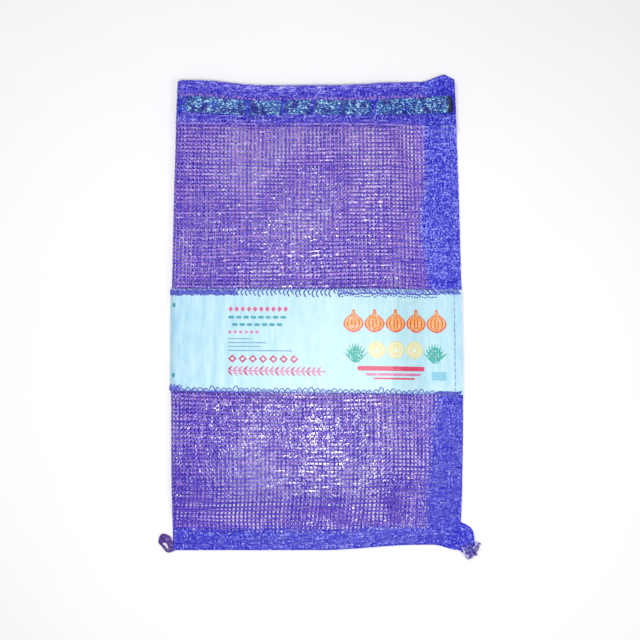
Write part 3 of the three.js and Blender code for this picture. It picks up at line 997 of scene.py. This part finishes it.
def stringPoint(girth, across, lift):
    fine = 0
    for length, slant, phase in string["creases"]:
        swing = string["creaseSwing"] * np.sin(girth / string["swingReach"] + phase)
        fine = fine + string["crinkle"] * wave(girth, length, slant * across + swing + phase)
    out = 0
    dive = string["dive"]
    for start, stop in string["outRuns"]:
        bend = string["diveBend"] * across**2 * np.sign(np.sin(start))
        out = out + band(girth - bend, start - dive, start + dive, stop - dive, stop + dive)
    depth = string["depth"] + (string["outDepth"] - string["depth"]) * out + fine
    level = tapeLevel + string["wander"] * wave(girth, string["wanderLength"], string["wanderPhase"])
    return wallPoint(girth, level + across, depth - lift)


stringGrid = np.meshgrid(
    np.linspace(string["endInset"], girthAll - string["endInset"], string["columns"]),
    np.linspace(-string["width"] / 2, string["width"] / 2, string["rows"]),
    indexing="ij",
)
half = string["thickness"] / 2
stringParts = [slab(*stringGrid, stringPoint, -half, half)]
stringPiece = makePiece("drawstring_tape", stringParts, stringTape, smooth=True)
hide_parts("drawstring")

# Sewing: overlocked label edges, and running stitches down the seam, along the hem and along the foot
sewing = {
    "radius": 0.28,
    "stations": 5,
    "rise": 0.22,  # of a running stitch over the net
    "rearRise": -0.36,  # and on the rear, where it is pressed into the net
    "overLabel": 0.68,
    "overLabelRear": 0.1,  # more of it on the rear
    "labelStep": (1.5, 0.5),  # past the label's edge and in from it
    "bow": 0.12,  # radians left out at a stitch's ends
    "onLabel": 0.46,  # middle of an overlock thread above the label's under face
    "onLabelLeast": 0.02,
    "lengthwise": 0.5,  # how looseness moves an overlock stitch along the edge and stretches it
    "inward": 0.6,
    "inLimits": (-0.6, 8.4),
    "seam": (-224, 188),  # levels
    "seamStitch": (6.6, 5.2),  # from stitch to stitch and length of a stitch
    "seamInset": 8,
    "seamWobble": 0.25,
    "hemRows": (tapeLevel - 10.5, bag["mouth"] - bag["hemDepth"] + 2.5),
    "hemStitch": (6.5, 4.4),
    "footRow": bag["foot"] + 8,
    "footStitch": (8, 5),
    "rowInset": 3,
    "rowWobble": 0.2,
}
# Overlocked edges, several threads together: each stitch's path goes along the edge and in from it
archPath = ((0, -0.2), (0.2, 1.4), (0.9, 3), (2.2, 4.2), (3.7, 4), (5, 2.4), (5.8, -0.2))
chevronPath = ((0, 7.4), (1, 5.8), (2, 4), (1, 2), (0, 0))
slantPath = ((-1.6, 6), (-0.5, 4.2), (0.5, 2.4), (1.6, 0.6))
backSlantPath = ((1.6, 6), (0.5, 5), (-0.5, 3.8), (-1.6, 2.6))
shortPath = ((-1.6, 5), (-0.5, 3.6), (0.5, 2.2), (1.6, 0.6))
lowPath = ((-1.2, 3.2), (-0.4, 2.4), (0.4, 1.4), (1.2, 0.2))
linePath = ((0, 4.9), (2, 4.8), (3.8, 4.9))
overlock = (
    # edge, girth from, to, from stitch to stitch, radius, looseness, path
    ("top", 228, 297, 1.5, 0.62, 0.24, slantPath),
    ("top", 228, 297, 1.5, 0.62, 0.2, backSlantPath),
    ("top", 228, 297, 4.1, 0.7, 0.16, linePath),
    ("top", 124, 229, 4.2, 0.68, 0.4, chevronPath),
    ("top", 124, 229, 4.2, 0.56, 0.5, ((2.6, 1.8), (3.4, 0.8), (4.4, 0))),
    ("top", 26, 124, 2.6, 0.64, 0.5, ((0, 4.2), (1.2, 2.6), (2.6, 1), (3, -0.4))),
    ("top", 26, 124, 4.1, 0.86, 0.16, linePath),
    ("top", 26, 124, 2.7, 0.66, 0.2, ((0, 7.3), (0.7, 7.4), (1.4, 7.6))),
    ("top", 3, 26, 1.9, 0.66, 0.24, shortPath),
    ("foot", 28, 284, 5.8, 0.52, 0.5, archPath),
    ("foot", 28, 284, 5.8, 0.4, 0.5, ((1.6, 0.2), (2.8, 2), (4.2, 0.6))),
    ("foot", 6, 290, 4.4, 0.45, 0.3, ((0, 0.4), (2, 0.2), (4.2, 0.4))),
    ("foot", 283, 297, 1.6, 0.62, 0.35, slantPath),
    ("foot", 3, 28, 1.3, 0.66, 0.24, lowPath),
    ("top", 300, 582, 4.2, 0.34, 0.2, chevronPath),
    ("foot", 300, 580, 6.6, 0.34, 0.2, archPath),
)
labelTop = bag["labelHigh"]
labelFoot = bag["labelLow"]


def bowed(count):
    # a stitch stands highest in its middle and sinks at its ends
    return np.sin(np.linspace(sewing["bow"], np.pi - sewing["bow"], count)) ** 0.5


def outside(girth, level):
    # over the net, and over the label where that covers it
    past, inside = sewing["labelStep"]
    onLabel = band(level, labelFoot - past, labelFoot + inside, labelTop - inside, labelTop + past)
    rear = ease(girth - girthAll / 2, -1, 1)
    overNet = sewing["rise"] * bowed(sewing["stations"]) * (1 - rear) + sewing["rearRise"] * rear
    overLabel = sewing["overLabel"] + sewing["overLabelRear"] * rear
    return wallPoint(girth, level, -overNet - onLabel * overLabel)


sewingParts = []
for edge, low, high, pitch, radius, looseness, path in overlock:
    path = np.array(path)
    at = np.arange(low, high, pitch)[:, None]
    stretch = 1 + sewing["lengthwise"] * looseness * rng.normal(size=at.shape).clip(-1.5, 1.5)
    girth = at + path[:, 0] + sewing["lengthwise"] * looseness * rng.normal(size=at.shape)
    uneven = sewing["inward"] * looseness * rng.normal(size=(len(at), len(path)))
    inward = (stretch * path[:, 1] + uneven).clip(*sewing["inLimits"])
    level = labelTop - inward if edge == "top" else labelFoot + inward
    lift = sewing["onLabel"] * bowed(len(path)) + sewing["onLabelLeast"]
    paths = labelPoint(girth.clip(1, girthAll - 1), level, lift)
    sewingParts.append(tubes(paths, radius * mm))
run = np.linspace(0, 1, sewing["stations"])
pitch, length = sewing["seamStitch"]
at = np.arange(*sewing["seam"], pitch)[:, None]
for girth in (sewing["seamInset"], girthAll - sewing["seamInset"]):
    wobble = sewing["seamWobble"] * rng.normal(size=(len(at), len(run)))
    sewingParts.append(tubes(outside(girth + wobble, at + length * run), sewing["radius"] * mm))
rows = [(level, *sewing["hemStitch"]) for level in sewing["hemRows"]]
rows.append((sewing["footRow"], *sewing["footStitch"]))
for level, pitch, length in rows:
    at = np.arange(sewing["rowInset"], girthAll - sewing["rowInset"] - length, pitch)[:, None]
    wobble = sewing["rowWobble"] * rng.normal(size=(len(at), len(run)))
    sewingParts.append(tubes(outside(at + length * run, level + wobble), sewing["radius"] * mm))
makePiece("sewing_threads", sewingParts, sewingThread, smooth=True)


# Net gathered off the foot's two corners: a turned loop at the fold, a tied tail at the seam
def smoothPaths(controls, stations):
    # rounded paths through a few points; controls holds thread, point, xyz
    count = controls.shape[1]
    at = np.linspace(0, count - 1, stations)
    first = np.minimum(at.astype(int), count - 2)
    t = (at - first)[None, :, None]
    before = 2 * controls[:, :1] - controls[:, 1:2]
    after = 2 * controls[:, -1:] - controls[:, -2:-1]
    padded = np.concatenate([before, controls, after], 1)
    a, b, c, d = (padded[:, first + i] for i in range(4))
    return b + ((c - a) * t + (2 * a - 5 * b + 4 * c - d) * t**2 + (3 * b - a - 3 * c + d) * t**3) / 2


def tonesOf(paths, middle, spread):
    # one tone for the whole of each tape
    return middle + spread * rng.normal(size=(len(paths), 1)) + np.zeros(paths.shape[:2])


def tilted(paths, amount):
    # lying nearly level, each tape turned a little about its own length
    run = np.gradient(paths, axis=1)
    level = unit(np.stack([-run[..., 1], run[..., 0], 0 * run[..., 0]], -1))
    turn = amount * (rng.normal(size=(len(paths), 1)) + 0.6 * rng.normal(size=paths.shape[:2]))
    return np.cos(turn)[..., None] * level + np.sin(turn)[..., None] * upward


def looseTapes(paths, tone, wide, width):
    # tapes off the weave, in millimetres; wide says which way their width lies
    run = np.gradient(paths, axis=1)
    length = np.linalg.norm(run, axis=-1)
    thick = unit(np.cross(run, wide))
    flat = np.cross(thick, unit(run))
    half = width / 2
    thin = net["thickness"] / 2
    paths = paths.copy()
    paths[..., 2] = np.maximum(paths[..., 2], half * np.abs(flat[..., 2]) + 0.1)  # none goes into the floor
    corners = [paths + a * half * flat + b * thin * thick for a, b in meshing["tapeCorners"]]
    blue = np.ones_like(tone)  # these tapes lie bunched together
    return (*closedSections(np.stack(corners, 2) * mm), strandOf(tone, np.cumsum(length, 1), blue))


loop = {
    "tapes": 9,
    "width": 1.7,
    "stations": 26,
    "sway": 0.22,
    "middleTone": 0.42,
    "toneSpread": 0.12,
    "tilt": 0.16,
    "places": (
        # of its first tape and of its last, from the bag's corner round and back to it
        ((-141.5, -233.0, 1.3), (-148.2, -235.0, 1.3)),
        ((-146.2, -227.2, 2.2), (-149.4, -230.6, 2.0)),
        ((-148.4, -222.8, 2.9), (-151.4, -227.8, 2.7)),
        ((-156.0, -221.0, 2.2), (-154.4, -228.2, 2.1)),
        ((-158.8, -228.4, 1.2), (-156.4, -229.6, 1.1)),
        ((-153.6, -231.9, 1.3), (-154.4, -233.2, 1.0)),
        ((-149.0, -236.0, 1.4), (-149.8, -237.4, 1.0)),
        ((-142.6, -234.4, 1.2), (-143.6, -236.0, 1.0)),
    ),
}
firsts, lasts = np.array(loop["places"]).transpose(1, 0, 2)
share = np.linspace(0, 1, loop["tapes"])[:, None, None]
controls = firsts + (lasts - firsts) * share
controls += loop["sway"] * rng.normal(size=controls.shape)
paths = smoothPaths(controls, loop["stations"])
tone = tonesOf(paths, loop["middleTone"], loop["toneSpread"])
loopParts = [looseTapes(paths, tone, tilted(paths, loop["tilt"]), loop["width"])]
loopPiece = makePiece("corner_loop", loopParts, shadedLoopTape)
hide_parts("net_bag")

tail = {
    "tapes": 19,  # in each of its layers
    "layers": (1.0, 2.2, 3.4),
    "layerShift": 0.02,
    "width": 1.7,
    "stations": 16,
    # places at the seam, in the middle and at the foot
    "root": ((136.8, -207.4), (130.0, -218.5), (121.0, -227.4)),
    "swell": ((150.8, -215.2), (142.6, -224.0), (132.8, -232.4)),
    "neck": ((153.2, -228.6), (147.4, -232.2), (141.2, -235.4)),
    "ends": ((160.2, -228.8), (154.8, -241.2), (144.8, -245.0)),
    "rootLift": (0.9, 0.3),  # of the first layer, and more for each further one
    "swellLift": 0.2,
    "neckLift": 0.9,
    "endShare": 0.25,  # how far the gathered cloth goes on towards the tuft's ends
    "sway": 0.3,
    "waver": 0.25,
    "middleTone": 0.3,
    "toneSpread": 0.14,
    "tilt": 0.3,
    "crossTapes": 7,
    "crossSpan": (0.12, 0.92),
    "crossBare": 5,  # stations at the neck without them
    "crossLift": 0.25,
    "crossTone": 0.34,
    "crossTilt": 0.2,
}
tie = {
    "axis": (0.54, -0.84, 0),  # along the tail
    "turns": 3,
    "steps": 24,
    "pitch": 0.7,
    "halfWidth": 7.2,
    "halfHeight": 2.5,
    "lift": 0.3,
    "back": 2.4,  # from the neck towards the bag
    "width": 1.4,
    # a deep tone, painted shade for the dark at the neck
    "tone": 0.2,
}
tuft = {
    "tapes": 52,
    "stations": 10,
    "lift": (0.7, 5.6),
    "neckLift": (1.6, 5.8),
    "reach": (0.8, 1.04),
    "bendAt": 0.55,
    "curl": (1, 1, 0.7),
    "rootBack": 3,
    "middleTone": 0.5,
    "toneSpread": 0.26,
    "tilt": 0.7,
}


def tailPoint(key, share, lift):
    # on a curve through the three places across the tail
    a, b, c = (np.array(place) for place in tail[key])
    share = np.reshape(share, (-1, 1))
    place = a * (1 - share) * (1 - 2 * share) + b * 4 * share * (1 - share) + c * share * (2 * share - 1)
    return np.concatenate([place, np.broadcast_to(lift, (len(share), 1))], 1)


tailParts = []
for layer, height in enumerate(tail["layers"]):
    share = np.linspace(0, 1, tail["tapes"]) + tail["layerShift"] * (layer - 1)
    rootLift, rootMore = tail["rootLift"]
    neckLift = height + tail["neckLift"]
    lifts = {"root": rootLift + rootMore * layer, "swell": height + tail["swellLift"]}
    lifts.update(neck=neckLift, ends=neckLift)
    controls = np.stack([tailPoint(key, share.clip(0, 1), lift) for key, lift in lifts.items()], 1)
    controls[:, 3] = controls[:, 2] + tail["endShare"] * (controls[:, 3] - controls[:, 2])
    controls[..., 2] += tail["waver"] * rng.normal(size=controls.shape[:2])
    controls[:, 1:3, :2] += tail["sway"] * rng.normal(size=(len(share), 2, 2))
    paths = smoothPaths(controls, tail["stations"])
    tone = tonesOf(paths, tail["middleTone"], tail["toneSpread"])
    tailParts.append(looseTapes(paths, tone, tilted(paths, tail["tilt"]), tail["width"]))
    rungs = np.linspace(*tail["crossSpan"], tail["crossTapes"]) * (tail["stations"] - tail["crossBare"])
    crossing = paths[:, rungs.astype(int)].transpose(1, 0, 2) + tail["crossLift"] * upward
    tone = tonesOf(crossing, tail["crossTone"], tail["toneSpread"])
    tailParts.append(looseTapes(crossing, tone, tilted(crossing, tail["crossTilt"]), tail["width"]))
axis = np.array(tie["axis"])
sideways = np.array([-axis[1], axis[0], 0])
turns = np.linspace(0, 2 * np.pi * tie["turns"], tie["steps"] * tie["turns"] + 1)[:, None]
tiePath = tailPoint("neck", 0.5, tie["lift"] + tie["halfHeight"]) - tie["back"] * axis
tiePath = tiePath + tie["pitch"] * (turns / (2 * np.pi) - tie["turns"] / 2) * axis
tiePath = tiePath + tie["halfWidth"] * np.cos(turns) * sideways + tie["halfHeight"] * np.sin(turns) * upward
tone = np.full((1, len(turns)), tie["tone"])
tailParts.append(looseTapes(tiePath[None], tone, np.broadcast_to(axis, (1, *tiePath.shape)), tie["width"]))
tailPiece = makePiece("gathered_tail", tailParts, netTape)
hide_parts("net_bag")

share = rng.uniform(0, 1, tuft["tapes"])
column = (len(share), 1)
reach = rng.uniform(*tuft["reach"], column)
neck = tailPoint("neck", share, rng.uniform(*tuft["neckLift"], column))
ends = tailPoint("ends", share, rng.uniform(*tuft["lift"], column))
curl = np.stack([size * rng.normal(size=len(share)) for size in tuft["curl"]], 1)
middle = neck + tuft["bendAt"] * reach * (ends - neck) + curl
middle[:, 2] = np.clip(middle[:, 2], *tuft["lift"])
controls = np.stack([neck - tuft["rootBack"] * axis, neck, middle, neck + reach * (ends - neck)], 1)
paths = smoothPaths(controls, tuft["stations"])
tone = tonesOf(paths, tuft["middleTone"], tuft["toneSpread"])
tuftParts = [looseTapes(paths, tone, tilted(paths, tuft["tilt"]), tail["width"])]
tuftPiece = makePiece("tail_tuft", tuftParts, tuftTape)
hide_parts("net_bag")

# Camera above the bag, nearly square to it
camera = {
    "target": (1.05, -7.6, 10),
    "distance": 900,
    "elevation": 86,
    "lens": 50.6,
    "sensor": 36,
}
eye = bpy.data.objects.new("camera", bpy.data.cameras.new("camera"))
bpy.context.scene.collection.objects.link(eye)
tiltUp = np.radians(camera["elevation"])
back = Vector((0, -np.cos(tiltUp), np.sin(tiltUp)))
eye.location = (Vector(camera["target"]) + camera["distance"] * back) * mm
eye.rotation_euler = (-back).to_track_quat("-Z", "Y").to_euler()
eye.data.sensor_width = camera["sensor"]
eye.data.lens = camera["lens"]
bpy.context.scene.camera = eye

# Floor and soft studio light, in metres and watts
studio = {
    "floor": 6.0,
    "floorDrop": 0.0002,
    "worldColour": "#F4F6FA",
    "worldStrength": 0.34,
    "lights": {
        "key": {"place": (-0.8, 0.7, 1.5), "size": 0.5, "power": 8.5},
        "fill": {"place": (0.9, -0.5, 1.3), "size": 0.6, "power": 5.0},
        "front": {"place": (0.011, -0.164, 0.92), "size": 0.16, "power": 4.8},
    },
}
floorMesh = bpy.data.meshes.new("floor")
half = studio["floor"] / 2
corners = [(x * half, y * half, -studio["floorDrop"]) for x, y in meshing["tapeCorners"]]
floorMesh.from_pydata(corners, [], [(0, 1, 2, 3)])
floorMesh.materials.append(paleBoard)
floor = bpy.data.objects.new("floor", floorMesh)
bpy.context.scene.collection.objects.link(floor)
for lightName, light in studio["lights"].items():
    lamp = bpy.data.objects.new(lightName, bpy.data.lights.new(lightName, "AREA"))
    lamp.data.size = light["size"]
    lamp.data.energy = light["power"]
    lamp.location = light["place"]
    lamp.rotation_euler = (-lamp.location).to_track_quat("-Z", "Y").to_euler()
    bpy.context.scene.collection.objects.link(lamp)
world = bpy.data.worlds.new("studio")
world.use_nodes = True
sky = world.node_tree.nodes["Background"]
sky.inputs["Color"].default_value = linear(studio["worldColour"])
sky.inputs["Strength"].default_value = studio["worldStrength"]
bpy.context.scene.world = world
bpy.context.scene.view_settings.view_transform = "Standard"
print("stage set")
